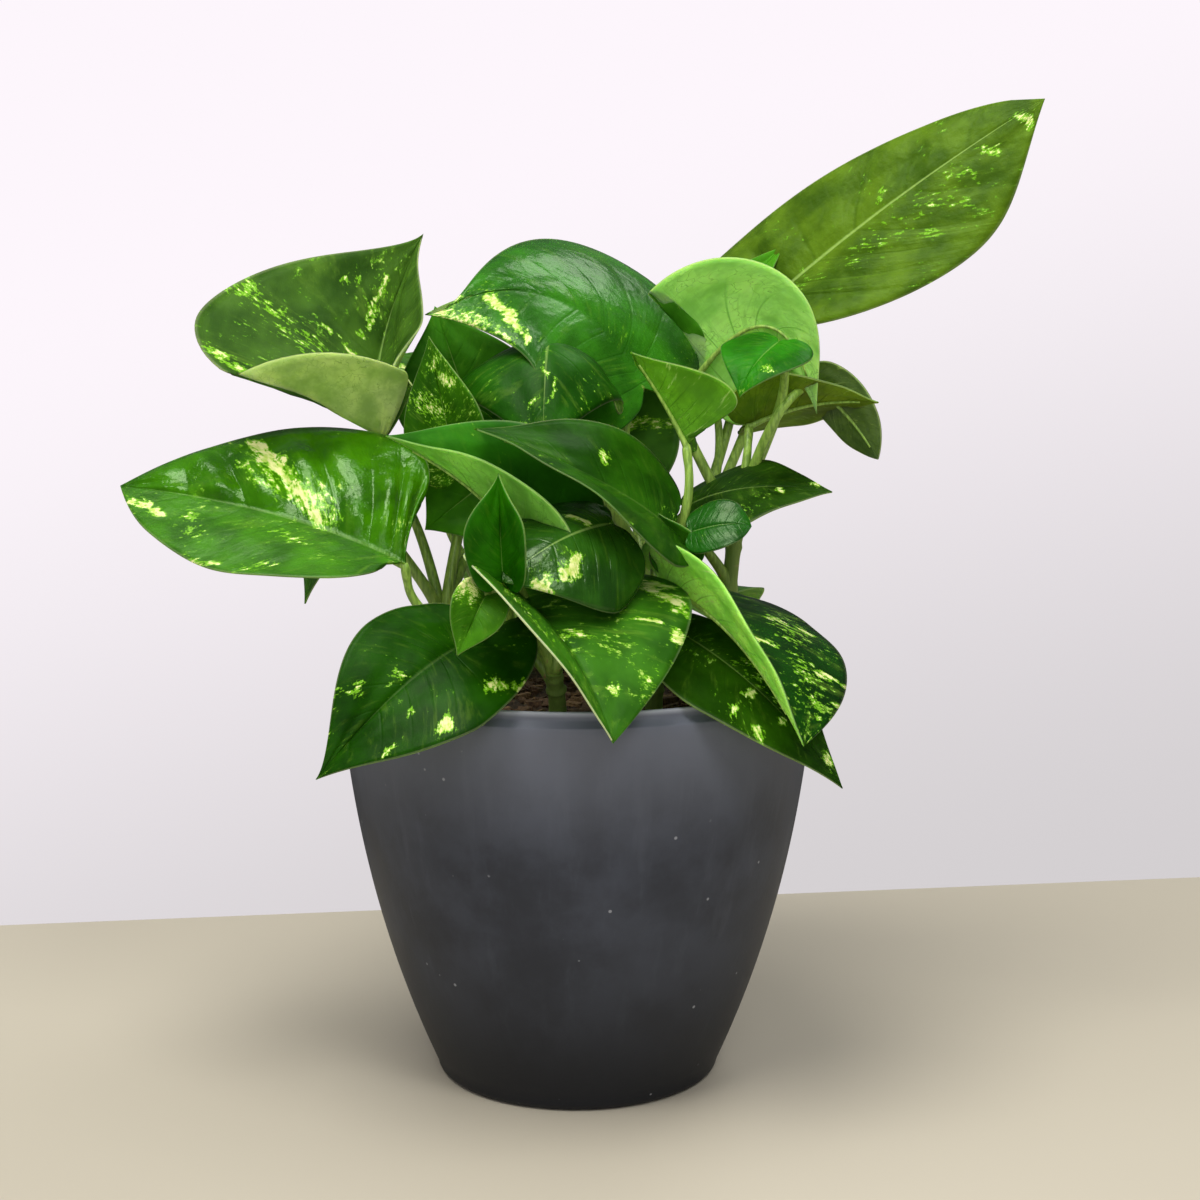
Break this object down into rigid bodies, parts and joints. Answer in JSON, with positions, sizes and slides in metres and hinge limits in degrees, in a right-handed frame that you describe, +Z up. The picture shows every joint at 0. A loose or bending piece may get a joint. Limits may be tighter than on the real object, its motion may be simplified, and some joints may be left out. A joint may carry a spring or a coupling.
{
  "type": "potted vine plant",
  "caption": "Potted golden pothos: rooted vines with stalked, heart-shaped, cream-flecked leaves rising and hanging over a tapered matt grey pot filled with potting mix.",
  "frame": {"origin": "centre of the pot's flat foot, where it rests", "axes": "+Z up along the pot's axis; the plant's best side, as in the picture, looks towards -Y; +X is to the right seen from there"},
  "size_m": [0.3152, 0.2268, 0.3391],
  "materials": {
    "pot_plastic": "matt slate grey, faintly mottled",
    "leaf": "waxy, half gloss, flecked with cream and yellow",
    "soil": "loose bark and peat"
  },
  "bodies": {
    "root": {"pot": "pot_plastic", "vine_front_left": "leaf", "vine_front": "leaf", "vine_front_right": "leaf", "vine_middle": "leaf", "vine_right": "leaf", "vine_back_right": "leaf", "vine_left": "leaf", "vine_back_left": "leaf", "vine_back": "leaf", "potting_mix": "soil"}
  },
  "joints": []
}
